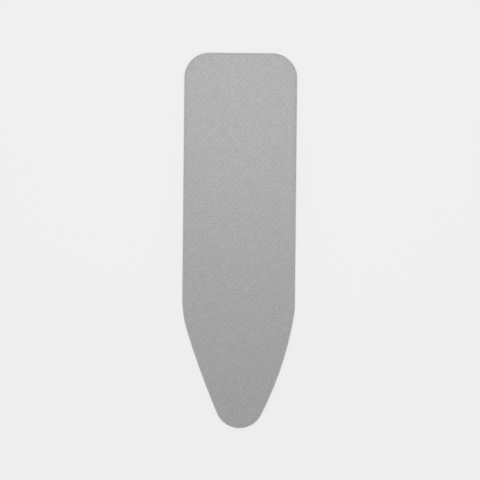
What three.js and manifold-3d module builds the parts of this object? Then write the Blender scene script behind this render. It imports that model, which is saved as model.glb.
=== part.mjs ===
// Ironing board cover. A metallised cotton cover lies over a foam layer and a felt layer, and a
// drawstring in its taped hem gathers it under the board. A sprung cord lock holds the drawstring
// at the heel, and elastic straps with hooks draw the two long hems together.
// Millimetres, +Z up. +X is to the right and +Y towards the square heel. The origin is on the
// resting plane, under the middle of the outline.

import * as THREE from "three";
import { mergeVertices } from "three/addons/utils/BufferGeometryUtils.js";
import Module from "manifold-3d";

const wasm = await Module();
wasm.setup();

// Outline, seen from above
const coverLength = 1240;
const coverWidth = 373;
const heelCornerRadius = 83;
const noseRadius = 80.3;
const noseOffset = 5.9; // the nose is sewn a little to the right of the middle
const leftTaperLength = 428; // from the nose tip to where the left side starts to draw in
const leftShoulderRadius = 354;
const leftFlankRadius = 2802;
const rightTaperLength = 412;
const rightShoulderRadius = 255;
const rightFlankRadius = 1121;

// Layers and the room for the board
const clothThickness = 0.8;
const foamThickness = 4;
const feltThickness = 4;
const boardThickness = 20;
const topEdgeRadius = 12;
const lowerEdgeRadius = 8;
const seatGap = 0.3; // between pieces that rest on each other

// Gathers of the skirt, where the drawstring pulls it round a curve
const gatherDepth = 2.4;
const noseGathers = 9;
const cornerGathers = 6;

// Hem tape and drawstring
const hemInset = 50; // from the cover's edge to the drawstring
const cordDiameter = 2.4;
const cordPlay = 0.6; // all round the drawstring in its tunnel
const tapeThickness = 0.8;
const tapeLegLength = 11;
const tapeRestAngle = 40; // the flattened stretch of the tunnel that lies on the resting plane
const heelOpening = 40; // between the tape's ends, where the drawstring comes out
const tailBendRadius = 14;
const tailSpacing = 0.5; // between the drawstring's two tails

// Elastic straps and their hooks
const strapCount = 3;
const strapEndMargin = 100; // from the ends of the straight sides to the outer straps
const strapWidth = 18;
const strapThickness = 1.4;
const strapSewnLength = 22;
const hookLength = 26;
const hookThickness = 2;
const hookTongueWidth = 16;
const hookRailWidth = 2.6;
const hookBarWidth = 3;
const hookCornerRadius = 3;
const hookTipAngle = 30; // how far the hook reaches under the drawstring
const hookGrip = 0.4; // between the hook and the drawstring
const hookTravel = 8; // outwards, to lift it off the drawstring
const notchMargin = 6; // from the hook to the ends of the notch in the hem
const notchPlay = 2; // from the hook, pulled right out, to the bottom of the notch
const hemBandMargin = 2; // level cloth left past the notch

// Cord lock and cord end
const lockDiameter = 12;
const lockEndDiameter = 10.6;
const lockWall = 1.5;
const lockLip = 3; // barrel past its cord slot
const lockDistance = 12; // from the bends of the tails to the lock
const lockSlide = 40;
const lockStopGap = 2; // left to the bead at the end of its slide
const lockFloorGap = 0.3;
const plungerPlay = 0.2;
const plungerTravel = 2.5;
const plungerFoot = 2.5; // solid end behind the plunger's cord slot
const plungerHeadDiameter = 11.2;
const plungerHeadLength = 4.5;
const slotPlay = 0.35; // between the tails and the cord slots
const springLength = 6.7;
const springDiameter = 7.7;
const springWire = 0.7;
const springCurls = 4;
const beadDiameter = 11.4;
const beadMouthDiameter = 9.4;
const beadLength = 14;
const beadFloor = 3; // solid end of the bead behind the tails

// Facets
const taperSteps = 4;
const topEdgeSteps = 4;
const lowerEdgeSteps = 3;
const tunnelSteps = 7;
const tailBendSteps = 7;
const cordSides = 8;
const turnedSteps = 20;
const springStepsPerCurl = 8;
const springSides = 5;

// Places that follow from the sizes
const halfWidth = coverWidth / 2;
const heelY = coverLength / 2;
const noseY = -coverLength / 2;
const straightStartY = noseY + Math.max(leftTaperLength, rightTaperLength);
const straightEndY = heelY - heelCornerRadius;
const cordRadius = cordDiameter / 2;
const tunnelRadius = cordRadius + cordPlay;
const tapeRadius = tunnelRadius + tapeThickness;
const hemHeight = tapeRadius * Math.cos(THREE.MathUtils.degToRad(tapeRestAngle / 2));
const hemEdgeInset = hemInset - tunnelRadius - seatGap;
const hookInnerRadius = cordRadius + hookGrip;
const hookOuterRadius = hookInnerRadius + hookThickness;
const hookX = halfWidth - hemInset;
const hookHalfWidth = strapWidth / 2 + seatGap + hookRailWidth;
const notchDepth = hookOuterRadius + hookTravel + notchPlay;
const notchHalfLength = hookHalfWidth + notchMargin;
const hemBandWidth = notchDepth + hemBandMargin;
const strapHeight = hemHeight + hookInnerRadius + hookThickness / 2;
const strapEyeRadius = hookThickness / 2 + seatGap;
const strapLoopRadius = strapEyeRadius + strapThickness;
const boardUnderside = strapHeight + strapLoopRadius + seatGap;
const skirtRollBottom = boardUnderside - seatGap - clothThickness;
const feltUnderside = boardUnderside + boardThickness;
const foamUnderside = feltUnderside + feltThickness + seatGap;
const clothUnderside = foamUnderside + foamThickness + seatGap;
const coverHeight = clothUnderside + clothThickness;
const topRollHeight = coverHeight - topEdgeRadius;
const lowerRollHeight = skirtRollBottom + lowerEdgeRadius;
const strapPlaces = Array.from({ length: strapCount }, (_, index) => {
  const share = strapCount > 1 ? index / (strapCount - 1) : 0.5;
  return THREE.MathUtils.lerp(straightEndY - strapEndMargin, straightStartY + strapEndMargin, share);
});
const tailX = (cordDiameter + tailSpacing) / 2;
const tailBendY = heelY - hemInset - tailBendRadius;
const lockRadius = lockDiameter / 2;
const lockY = tailBendY - lockDistance;
const lockHeight = lockRadius + lockFloorGap;
const cordRoom = 2 * (tailX + cordRadius + slotPlay);
const slotLength = cordRoom + plungerTravel;
const slotHeight = cordDiameter + 2 * slotPlay;
const plungerRadius = lockRadius - lockWall - plungerPlay;
const plungerInnerX = -cordRoom / 2 - plungerFoot;
const boreEndX = plungerInnerX - springLength - 2 * seatGap;
const lockClosedX = boreEndX - lockWall;
const lockOpenX = cordRoom / 2 + lockLip;
const plungerHeadX = lockOpenX + plungerTravel + seatGap;
const beadMouthY = lockY - lockRadius - lockSlide - lockStopGap;
const tailEndY = beadMouthY - beadLength + beadFloor + seatGap;

const finish = (color, roughness, metalness = 0) =>
  new THREE.MeshStandardMaterial({ color, roughness, metalness });
const metallisedCotton = finish(0xacacac, 0.6, 0.3);
const foam = finish(0xe6e1d0, 0.95);
const felt = finish(0xd2d0ca, 1);
const cottonTape = finish(0x8c8c8c, 0.9);
const braidedCord = finish(0xeeeeea, 0.85);
const elasticWebbing = finish(0x2d2d30, 0.9);
const hookPlastic = finish(0xd8d8d6, 0.45);
const lockPlastic = finish(0x38383b, 0.4);
const springSteel = finish(0xb8b8ba, 0.3, 1);

const cover = new THREE.Group();

function addPiece(name, geometry, material) {
  const piece = new THREE.Mesh(geometry, material);
  piece.name = name;
  cover.add(piece);
  return piece;
}

// Closed meshes to solids for joining and cutting, and back
function toSolid(geometry) {
  const bare = new THREE.BufferGeometry();
  bare.setAttribute("position", geometry.getAttribute("position"));
  bare.setIndex(geometry.getIndex());
  const merged = mergeVertices(bare);
  const corners = merged.getIndex().array;
  const triangles = [];
  for (let i = 0; i < corners.length; i += 3) {
    const [a, b, c] = corners.slice(i, i + 3);
    if (a !== b && b !== c && c !== a) triangles.push(a, b, c);
  }
  const vertProperties = new Float32Array(merged.getAttribute("position").array);
  const mesh = new wasm.Mesh({ numProp: 3, vertProperties, triVerts: new Uint32Array(triangles) });
  return new wasm.Manifold(mesh);
}

function toGeometry(solid) {
  const { vertProperties, triVerts } = solid.getMesh();
  const geometry = new THREE.BufferGeometry();
  geometry.setAttribute("position", new THREE.BufferAttribute(vertProperties, 3));
  geometry.setIndex(new THREE.BufferAttribute(triVerts, 1));
  geometry.computeVertexNormals();
  return geometry;
}

function boxBetween(low, high) {
  const size = high.map((value, axis) => value - low[axis]);
  const centre = high.map((value, axis) => (value + low[axis]) / 2);
  return new THREE.BoxGeometry(...size).translate(...centre);
}

// A solid skinned over a stack of closed rings with equal counts of points. The rings run
// anticlockwise as seen from beyond the last one, and the flat contour gives the end caps.
function skinRings(rings, contour) {
  const count = contour.length;
  const index = [];
  for (let k = 0; k + 1 < rings.length; k++) {
    for (let j = 0; j < count; j++) {
      const a = k * count + j;
      const b = k * count + ((j + 1) % count);
      index.push(a, b, b + count, a, b + count, a + count);
    }
  }
  const last = (rings.length - 1) * count;
  for (const [a, b, c] of THREE.ShapeUtils.triangulateShape(contour, [])) {
    index.push(c, b, a, last + a, last + b, last + c);
  }
  const geometry = new THREE.BufferGeometry().setFromPoints(rings.flat());
  geometry.setIndex(index);
  geometry.computeVertexNormals();
  return geometry;
}

// Stations of the outline: a point, the outward normal there and the share of a gather's depth
function arcRun(centreX, centreY, radius, fromAngle, toAngle, steps, gathers = 0) {
  return Array.from({ length: steps + 1 }, (_, i) => {
    const share = i / steps;
    const angle = THREE.MathUtils.degToRad(THREE.MathUtils.lerp(fromAngle, toAngle, share));
    const nx = Math.cos(angle);
    const ny = Math.sin(angle);
    const gather = (1 - Math.cos(2 * Math.PI * gathers * share)) / 2;
    return { x: centreX + radius * nx, y: centreY + radius * ny, nx, ny, gather };
  });
}

const sideStation = (side, y) => ({ x: side * halfWidth, y, nx: side, ny: 0, gather: 0 });
const heelStation = (x) => ({ x, y: heelY, nx: 0, ny: 1, gather: 0 });

// One drawn-in side, as it lies on the right: a shoulder arc and a long flank arc that runs on
// into the nose. The flank's circle holds the shoulder's and the nose's, so its centre lies
// where the two circles of centres at those distances cross.
function taperArcs(side, taperLength, shoulderRadius, flankRadius) {
  const shoulder = new THREE.Vector2(halfWidth - shoulderRadius, noseY + taperLength);
  const nose = new THREE.Vector2(side * noseOffset, noseY + noseRadius);
  const toShoulder = flankRadius - shoulderRadius;
  const toNose = flankRadius - noseRadius;
  const span = nose.clone().sub(shoulder);
  const reach = span.length();
  const along = (toShoulder ** 2 - toNose ** 2 + reach ** 2) / (2 * reach);
  const across = Math.sqrt(toShoulder ** 2 - along ** 2);
  span.normalize();
  const flank = shoulder.clone().addScaledVector(span, along);
  flank.add(new THREE.Vector2(span.y, -span.x).multiplyScalar(across));
  const dip = (centre) =>
    THREE.MathUtils.radToDeg(Math.atan2(flank.y - centre.y, centre.x - flank.x));
  return { shoulder, flank, shoulderEnd: dip(shoulder), flankEnd: dip(nose) };
}

function leftTaper() {
  const arcs = taperArcs(-1, leftTaperLength, leftShoulderRadius, leftFlankRadius);
  const { shoulder, flank, shoulderEnd, flankEnd } = arcs;
  const toFlank = 180 + shoulderEnd;
  const toNose = 180 + flankEnd;
  return {
    run: [
      ...arcRun(-shoulder.x, shoulder.y, leftShoulderRadius, 180, toFlank, taperSteps),
      ...arcRun(-flank.x, flank.y, leftFlankRadius, toFlank, toNose, taperSteps).slice(1),
    ],
    noseAngle: toNose,
  };
}

function rightTaper() {
  const arcs = taperArcs(1, rightTaperLength, rightShoulderRadius, rightFlankRadius);
  const { shoulder, flank, shoulderEnd, flankEnd } = arcs;
  const fromNose = 360 - flankEnd;
  const toShoulder = 360 - shoulderEnd;
  return {
    run: [
      ...arcRun(flank.x, flank.y, rightFlankRadius, fromNose, toShoulder, taperSteps).slice(0, -1),
      ...arcRun(shoulder.x, shoulder.y, rightShoulderRadius, toShoulder, 360, taperSteps),
    ],
    noseAngle: fromNose,
  };
}

// The whole outline runs anticlockwise from the heel's left corner round the nose to its right
// corner. Each gather takes two steps, one down and one up.
const cornerY = heelY - heelCornerRadius;
const cornerX = halfWidth - heelCornerRadius;
const cornerSteps = 2 * cornerGathers;
const left = leftTaper();
const right = rightTaper();
const leftCorner =
  arcRun(-cornerX, cornerY, heelCornerRadius, 90, 180, cornerSteps, cornerGathers);
const rightCorner =
  arcRun(cornerX, cornerY, heelCornerRadius, 0, 90, cornerSteps, cornerGathers);
const nose = arcRun(
  noseOffset, noseY + noseRadius, noseRadius,
  left.noseAngle, right.noseAngle, 2 * noseGathers, noseGathers,
);
const noseEnd = [...left.run, ...nose.slice(1, -1), ...right.run];
const outline = [...leftCorner, ...noseEnd, ...rightCorner];

const insetPoint = (station, inset, z) =>
  new THREE.Vector3(station.x - inset * station.nx, station.y - inset * station.ny, z);

// A solid round the whole outline. The profile's points are insets and heights, from the ring of
// the lower cap to the ring of the upper one, and slack is the share of a gather they hang by.
function loftOutline(profile) {
  const rings = profile.map(({ inset, z, slack = 0 }) =>
    outline.map((station) =>
      insetPoint(station, inset, z - slack * gatherDepth * station.gather)));
  const contour = rings[0].map((point) => new THREE.Vector2(point.x, point.y));
  return skinRings(rings, contour);
}

// A solid along a run of stations. The loop's points are insets and heights about its centre
// line, anticlockwise with the inset to the right.
function sweepRun(run, loop) {
  const rings = run.map((station) =>
    loop.map((point) => insetPoint(station, point.x, (station.z ?? 0) + point.y)));
  return skinRings(rings, loop);
}

function rollPoints(inset, z, radius, fromAngle, toAngle, steps) {
  return Array.from({ length: steps + 1 }, (_, i) => {
    const angle = THREE.MathUtils.degToRad(THREE.MathUtils.lerp(fromAngle, toAngle, i / steps));
    return { inset: inset + radius * Math.cos(angle), z: z + radius * Math.sin(angle) };
  });
}

// The cover's section: flat top, rolled edge, side, rolled lower edge, a skirt that slopes to the
// hem, and a level band that the hem tape grips. Its two faces are offsets of each other.
function clothFace(depth) {
  const bandInset = hemInset - hemBandWidth;
  const outerBandZ = hemHeight - clothThickness / 2;
  const bandX = bandInset - lowerEdgeRadius;
  const bandZ = outerBandZ - lowerRollHeight;
  const slope = Math.atan2(bandZ, bandX) - Math.acos(lowerEdgeRadius / Math.hypot(bandX, bandZ));
  const slopeAngle = 360 + THREE.MathUtils.radToDeg(slope);
  const mitre = depth * Math.tan((1.5 * Math.PI - THREE.MathUtils.degToRad(slopeAngle)) / 2);
  const top = rollPoints(
    topEdgeRadius, topRollHeight, topEdgeRadius - depth, 90, 180, topEdgeSteps);
  const lower = rollPoints(
    lowerEdgeRadius, lowerRollHeight, lowerEdgeRadius - depth, 180, slopeAngle, lowerEdgeSteps);
  const skirtTop = lower.at(-1);
  const band = { inset: bandInset - mitre, z: outerBandZ + depth };
  const skirt = [1 / 3, 2 / 3].map((share) => ({
    inset: THREE.MathUtils.lerp(skirtTop.inset, band.inset, share),
    z: THREE.MathUtils.lerp(skirtTop.z, band.z, share),
    slack: Math.sin(Math.PI * share),
  }));
  const edge = { inset: hemEdgeInset, z: outerBandZ + depth };
  return [...top, ...lower, ...skirt, band, edge];
}

function makeCover() {
  const profile = [...clothFace(clothThickness), ...clothFace(0).reverse()];
  let cloth = toSolid(loftOutline(profile));
  for (const y of strapPlaces) {
    for (const side of [-1, 1]) {
      const ends = [side * hookX, side * (hookX + notchDepth)].sort((a, b) => a - b);
      const notch = boxBetween(
        [ends[0], y - notchHalfLength, 0],
        [ends[1], y + notchHalfLength, boardUnderside],
      );
      cloth = cloth.subtract(toSolid(notch));
    }
  }
  addPiece("cover_fabric", toGeometry(cloth), metallisedCotton);
}

// A pad layer follows the rolled edge of the cloth above it and is square below the roll
function padEdge(z) {
  const radius = topEdgeRadius - clothThickness - seatGap;
  const rise = Math.max(0, z - topRollHeight);
  return topEdgeRadius - Math.sqrt(Math.max(0, radius ** 2 - rise ** 2));
}

function makePad(name, underside, thickness, material) {
  const profile = [0, 1 / 2, 3 / 4, 1].map((share) => {
    const z = underside + share * thickness;
    return { inset: padEdge(z), z };
  });
  addPiece(name, loftOutline(profile), material);
}

// A bias tape folded round the cloth's edge: two legs grip the cloth, and the fold is the tunnel
function tapeLoop() {
  const legInner = clothThickness / 2 + seatGap;
  const legOuter = legInner + tapeThickness;
  const outerJoin = THREE.MathUtils.radToDeg(Math.asin(legOuter / tapeRadius));
  const innerJoin = THREE.MathUtils.radToDeg(Math.asin(legInner / tunnelRadius));
  const restStart = 270 - tapeRestAngle / 2;
  const restEnd = 270 + tapeRestAngle / 2;
  const foldEnd = 540 - outerJoin;
  const foldSteps = [0.2, 0.4, 0.6, 0.8].map((share) =>
    THREE.MathUtils.lerp(restEnd, foldEnd, share));
  const tunnelAngles = Array.from({ length: tunnelSteps + 1 }, (_, step) =>
    THREE.MathUtils.lerp(540 - innerJoin, 180 + innerJoin, step / tunnelSteps));
  const onCircle = (radius) => (angle) => {
    const radians = THREE.MathUtils.degToRad(angle);
    const centre = new THREE.Vector2(hemInset, hemHeight);
    return centre.add(new THREE.Vector2(Math.cos(radians), Math.sin(radians)).multiplyScalar(radius));
  };
  const legEnd = (height) => new THREE.Vector2(hemInset - tapeLegLength, hemHeight + height);
  return [
    legEnd(-legOuter),
    ...[180 + outerJoin, restStart, restEnd, ...foldSteps, foldEnd].map(onCircle(tapeRadius)),
    legEnd(legOuter),
    legEnd(legInner),
    ...tunnelAngles.map(onCircle(tunnelRadius)),
    legEnd(-legInner),
  ];
}

// The tape is cut at each notch, so that a hook can reach the drawstring
function makeHemTapes() {
  const loop = tapeLoop();
  const first = strapPlaces[0] + notchHalfLength;
  const last = strapPlaces.at(-1) - notchHalfLength;
  const addTape = (name, run) => addPiece(`hem_tape_${name}`, sweepRun(run, loop), cottonTape);
  addTape("heel_left", [heelStation(-heelOpening / 2), ...leftCorner, sideStation(-1, first)]);
  addTape("heel_right", [sideStation(1, first), ...rightCorner, heelStation(heelOpening / 2)]);
  addTape("nose", [sideStation(-1, last), ...noseEnd, sideStation(1, last)]);
  for (let i = 0; i + 1 < strapPlaces.length; i++) {
    const upper = strapPlaces[i] - notchHalfLength;
    const lower = strapPlaces[i + 1] + notchHalfLength;
    addTape(`left_${i + 1}`, [sideStation(-1, upper), sideStation(-1, lower)]);
    addTape(`right_${i + 1}`, [sideStation(1, lower), sideStation(1, upper)]);
  }
}

// The drawstring runs through the tunnel all the way round. At the heel its two tails bend
// inwards and rise to pass side by side through the cord lock and into the bead.
function makeDrawstring() {
  const inHem = (station) => ({
    ...station,
    x: station.x - hemInset * station.nx,
    y: station.y - hemInset * station.ny,
    z: hemHeight,
  });
  const bendX = tailX + tailBendRadius;
  const rise = (share) =>
    THREE.MathUtils.lerp(hemHeight, lockHeight, THREE.MathUtils.smoothstep(share, 0, 1));
  const leftBend = arcRun(-bendX, tailBendY, tailBendRadius, 0, 90, tailBendSteps)
    .map((station, i) => ({ ...station, z: rise(1 - i / tailBendSteps) }));
  const rightBend = arcRun(bendX, tailBendY, tailBendRadius, 90, 180, tailBendSteps)
    .map((station, i) => ({ ...station, z: rise(i / tailBendSteps) }));
  const leftTail = { x: -tailX, y: tailEndY, nx: 1, ny: 0, z: lockHeight };
  const rightTail = { x: tailX, y: tailEndY, nx: -1, ny: 0, z: lockHeight };
  const run = [leftTail, ...leftBend, ...outline.map(inHem), ...rightBend, rightTail];
  const loop = Array.from({ length: cordSides }, (_, i) => {
    const angle = (2 * Math.PI * i) / cordSides;
    return new THREE.Vector2(cordRadius * Math.cos(angle), cordRadius * Math.sin(angle));
  });
  addPiece("drawstring", sweepRun(run, loop), braidedCord);
}

// A strap's section along its length: a single band whose ends are folded back into loops round
// the hooks' bars and sewn down double
function strapSection() {
  const half = strapThickness / 2;
  const bar = hookBarWidth / 2;
  const eye = hookX - hookLength + bar;
  const throat = eye - bar - 2 * strapLoopRadius;
  const sewn = throat - strapSewnLength;
  const quarter = Math.PI / 2;
  const section = new THREE.Shape();
  section.moveTo(-sewn, -half);
  section.lineTo(sewn, -half);
  section.lineTo(sewn, -strapThickness);
  section.lineTo(throat, -strapThickness);
  section.lineTo(eye - bar, -strapLoopRadius);
  section.absarc(eye + bar, 0, strapLoopRadius, -quarter, quarter);
  section.lineTo(eye - bar, strapLoopRadius);
  section.lineTo(throat, strapThickness);
  section.lineTo(sewn, strapThickness);
  section.lineTo(sewn, half);
  section.lineTo(-sewn, half);
  section.lineTo(-sewn, strapThickness);
  section.lineTo(-throat, strapThickness);
  section.lineTo(bar - eye, strapLoopRadius);
  section.absarc(-eye - bar, 0, strapLoopRadius, quarter, 3 * quarter);
  section.lineTo(bar - eye, -strapLoopRadius);
  section.lineTo(-throat, -strapThickness);
  section.lineTo(-sewn, -strapThickness);
  for (const side of [-1, 1]) {
    const hole = new THREE.Path();
    hole.absarc(side * eye + bar, 0, strapEyeRadius, -quarter, quarter);
    hole.absarc(side * eye - bar, 0, strapEyeRadius, quarter, 3 * quarter);
    section.holes.push(hole);
  }
  return section;
}

// A section drawn in X and Z, as wide as given along Y and centred there
function extrudeAcross(section, width) {
  const geometry = new THREE.ExtrudeGeometry(section, {
    depth: width,
    bevelEnabled: false,
    curveSegments: 8,
  });
  return geometry.translate(0, 0, -width / 2).rotateX(Math.PI / 2);
}

// A hook about the drawstring's centre, with the side of the board towards +X: a slotted plate
// for the strap, and a tongue that curls over the drawstring and under it
function hookGeometry() {
  const overlap = hookOuterRadius;
  const barEnd = hookBarWidth - hookLength;
  const slotEnd = barEnd + 2 * seatGap + strapLoopRadius;
  const half = hookHalfWidth;
  const tongue = hookTongueWidth / 2;
  const corner = hookCornerRadius;
  const cornerX = corner - hookLength;
  const plan = new THREE.Shape();
  plan.moveTo(cornerX, -half);
  plan.lineTo(slotEnd + hookRailWidth, -half);
  plan.lineTo(-2 * overlap, -tongue);
  plan.lineTo(-overlap / 2, -tongue);
  plan.lineTo(-overlap / 2, tongue);
  plan.lineTo(-2 * overlap, tongue);
  plan.lineTo(slotEnd + hookRailWidth, half);
  plan.lineTo(cornerX, half);
  plan.absarc(cornerX, half - corner, corner, Math.PI / 2, Math.PI);
  plan.absarc(cornerX, corner - half, corner, Math.PI, 1.5 * Math.PI);
  const slotHalf = half - hookRailWidth;
  const slot = new THREE.Path();
  slot.moveTo(barEnd, -slotHalf);
  slot.lineTo(barEnd, slotHalf);
  slot.lineTo(slotEnd, slotHalf);
  slot.lineTo(slotEnd, -slotHalf);
  plan.holes.push(slot);
  const plate = new THREE.ExtrudeGeometry(plan, {
    depth: hookThickness,
    bevelEnabled: false,
    curveSegments: 4,
  }).translate(0, 0, hookInnerRadius);
  const tip = THREE.MathUtils.degToRad(-hookTipAngle);
  const curl = new THREE.Shape();
  curl.moveTo(-overlap, hookInnerRadius);
  curl.absarc(0, 0, hookInnerRadius, Math.PI / 2, tip, true);
  curl.absarc(0, 0, hookOuterRadius, tip, Math.PI / 2, false);
  curl.lineTo(-overlap, hookOuterRadius);
  return toGeometry(toSolid(plate).add(toSolid(extrudeAcross(curl, hookTongueWidth))));
}

function makeStraps() {
  const section = strapSection();
  const hook = hookGeometry();
  strapPlaces.forEach((y, i) => {
    const strap = addPiece(`stretch_strap_${i + 1}`, extrudeAcross(section, strapWidth), elasticWebbing);
    strap.position.set(0, y, strapHeight);
    const rightHook = addPiece(`strap_hook_right_${i + 1}`, hook, hookPlastic);
    rightHook.position.set(hookX, y, hemHeight);
    const leftHook = addPiece(`strap_hook_left_${i + 1}`, hook, hookPlastic);
    leftHook.position.set(-hookX, y, hemHeight);
    leftHook.rotation.z = Math.PI;
  });
}

// A turned shape along X, from points of place along X and radius
function turnAlongX(points, segments) {
  const profile = points.map(([x, radius]) => new THREE.Vector2(radius, x));
  return new THREE.LatheGeometry(profile, segments).rotateZ(-Math.PI / 2);
}

function cordSlot(startX) {
  const reach = lockDiameter;
  return toSolid(boxBetween(
    [startX, -reach, -slotHeight / 2],
    [startX + slotLength, reach, slotHeight / 2],
  ));
}

function lockBarrelGeometry() {
  const endRadius = lockEndDiameter / 2;
  const boreRadius = lockRadius - lockWall;
  const length = lockOpenX - lockClosedX;
  const belly = [0.25, 0.5, 0.75].map((share) => {
    const bulge = Math.sin(Math.PI * share);
    return [lockClosedX + share * length, THREE.MathUtils.lerp(endRadius, lockRadius, bulge)];
  });
  const barrel = turnAlongX([
    [lockClosedX, 0],
    [lockClosedX, endRadius - lockWall / 2],
    [lockClosedX + lockWall / 2, endRadius],
    ...belly,
    [lockOpenX, endRadius],
    [lockOpenX, boreRadius],
    [boreEndX, boreRadius],
    [boreEndX, 0],
  ], turnedSteps);
  return toGeometry(toSolid(barrel).subtract(cordSlot(-cordRoom / 2 - plungerTravel)));
}

function lockPlungerGeometry() {
  const headRadius = plungerHeadDiameter / 2;
  const headEnd = plungerHeadX + plungerHeadLength;
  const plunger = turnAlongX([
    [plungerInnerX, 0],
    [plungerInnerX, plungerRadius],
    [plungerHeadX, plungerRadius],
    [plungerHeadX, headRadius],
    [THREE.MathUtils.lerp(plungerHeadX, headEnd, 0.4), headRadius],
    [THREE.MathUtils.lerp(plungerHeadX, headEnd, 0.8), 0.8 * headRadius],
    [headEnd, 0.45 * headRadius],
    [headEnd, 0],
  ], turnedSteps);
  return toGeometry(toSolid(plunger).subtract(cordSlot(-cordRoom / 2)));
}

class Helix extends THREE.Curve {
  getPoint(share, target = new THREE.Vector3()) {
    const angle = 2 * Math.PI * springCurls * share;
    const radius = (springDiameter - springWire) / 2;
    const x = THREE.MathUtils.lerp(springWire / 2, springLength - springWire / 2, share);
    return target.set(x, radius * Math.cos(angle), radius * Math.sin(angle));
  }
}

function springGeometry() {
  const helix = new Helix();
  const points = helix.getPoints(springCurls * springStepsPerCurl);
  const spacing = points.slice(springStepsPerCurl - 2).map((point, i) =>
    Math.min(...points.slice(0, i + 1).map((other) => other.distanceTo(point))));
  console.log(`lock spring, least gap to itself: ${(Math.min(...spacing) - springWire).toFixed(2)} mm`);
  const wire = new THREE.Shape(Array.from({ length: springSides }, (_, i) => {
    const angle = (2 * Math.PI * i) / springSides;
    return new THREE.Vector2(Math.cos(angle), Math.sin(angle)).multiplyScalar(springWire / 2);
  }));
  return new THREE.ExtrudeGeometry(wire, {
    steps: springCurls * springStepsPerCurl,
    extrudePath: helix,
    bevelEnabled: false,
  });
}

function makeCordLock() {
  const barrel = addPiece("cord_lock_barrel", lockBarrelGeometry(), lockPlastic);
  const plunger = addPiece("cord_lock_plunger", lockPlungerGeometry(), lockPlastic);
  const spring = addPiece("cord_lock_spring", springGeometry(), springSteel);
  for (const piece of [barrel, plunger, spring]) piece.position.set(0, lockY, lockHeight);
  spring.position.x = boreEndX + seatGap;
}

// The bead is a bell with its mouth towards the lock, and the two tails end in its pocket
function makeBead() {
  const endY = -beadLength;
  const radius = beadDiameter / 2;
  const bell = new THREE.LatheGeometry([
    [0, endY],
    [0.6 * radius, endY],
    [0.9 * radius, endY + 0.12 * beadLength],
    [radius, endY + 0.35 * beadLength],
    [THREE.MathUtils.lerp(radius, beadMouthDiameter / 2, 0.6), endY + 0.7 * beadLength],
    [beadMouthDiameter / 2, 0],
    [0, 0],
  ].map(([across, along]) => new THREE.Vector2(across, along)), turnedSteps);
  const pocket = boxBetween(
    [-cordRoom / 2, beadFloor - beadLength, -slotHeight / 2],
    [cordRoom / 2, slotHeight, slotHeight / 2],
  );
  const bead = addPiece("cord_end_bead", toGeometry(toSolid(bell).subtract(toSolid(pocket))), lockPlastic);
  bead.position.set(0, beadMouthY, lockHeight);
}

makeCover();
makePad("foam_layer", foamUnderside, foamThickness, foam);
makePad("felt_layer", feltUnderside, feltThickness, felt);
makeHemTapes();
makeDrawstring();
makeStraps();
makeCordLock();
makeBead();

export default cover;
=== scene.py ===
# Looks of the ironing board cover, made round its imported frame. Metres, +Z up, +Y to the square heel.
# In the dictionaries sizes are millimetres and angles degrees. Shares, strengths and counts are plain.

import math

import bmesh
import bpy
from mathutils import Matrix, Vector, noise
from mathutils.geometry import intersect_sphere_sphere_2d


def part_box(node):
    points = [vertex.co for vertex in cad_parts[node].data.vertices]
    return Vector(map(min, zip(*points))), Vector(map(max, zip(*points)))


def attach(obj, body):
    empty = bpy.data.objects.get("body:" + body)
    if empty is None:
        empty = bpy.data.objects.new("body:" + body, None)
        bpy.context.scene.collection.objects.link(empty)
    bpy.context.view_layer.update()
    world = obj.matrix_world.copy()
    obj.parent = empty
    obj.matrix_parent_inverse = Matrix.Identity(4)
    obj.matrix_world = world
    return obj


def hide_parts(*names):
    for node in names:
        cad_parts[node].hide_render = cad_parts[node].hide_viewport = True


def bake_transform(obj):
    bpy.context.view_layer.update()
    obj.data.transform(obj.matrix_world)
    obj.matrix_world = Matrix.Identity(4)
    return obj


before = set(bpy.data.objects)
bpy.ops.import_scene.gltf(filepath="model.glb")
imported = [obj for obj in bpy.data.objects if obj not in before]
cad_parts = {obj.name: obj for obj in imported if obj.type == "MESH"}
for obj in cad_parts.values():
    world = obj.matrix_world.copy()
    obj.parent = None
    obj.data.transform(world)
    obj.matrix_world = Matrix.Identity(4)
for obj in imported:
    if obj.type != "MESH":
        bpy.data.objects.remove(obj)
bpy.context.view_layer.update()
mm = 0.001
touch = 0.02 * mm  # points nearer than this are one point
fullTurn = 2 * math.pi
alongX = Vector((1, 0, 0))
alongY = Vector((0, 1, 0))
up = Vector((0, 0, 1))


def addObject(name, data):
    made = bpy.data.objects.new(name, data)
    bpy.context.scene.collection.objects.link(made)
    return made


def toMesh(name, bm):
    mesh = bpy.data.meshes.new(name)
    bm.to_mesh(mesh)
    bm.free()
    return mesh


# Camera, straight above with a long lens, so that the sides stay out of sight
cameraView = {
    "height": 6000,  # over the cover's widest part
    "widestZ": 20,
    "imageSize": 480,  # pixels
    "pixelSize": 3.3075,  # at the cover's widest part
    "coverMiddle": (239.213, 240.502),  # the pixel it falls on
    "coverTurn": 0.56,  # clockwise in the picture
    "sensor": 36,
}


def makeCamera():
    view = cameraView
    turn = Matrix.Rotation(math.radians(view["coverTurn"]), 4, "Z")
    half = view["imageSize"] / 2
    offset = Vector((half - view["coverMiddle"][0], view["coverMiddle"][1] - half, 0))
    place = turn @ (offset * view["pixelSize"] * mm) + up * (view["height"] + view["widestZ"]) * mm
    camera = addObject("camera", bpy.data.cameras.new("camera"))
    camera.data.sensor_width = view["sensor"]
    camera.data.lens = view["sensor"] * view["height"] / (view["imageSize"] * view["pixelSize"])
    camera.matrix_world = Matrix.Translation(place) @ turn
    bpy.context.scene.camera = camera


makeCamera()
bpy.context.scene.view_settings.view_transform = "Standard"
print("camera set")


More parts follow.
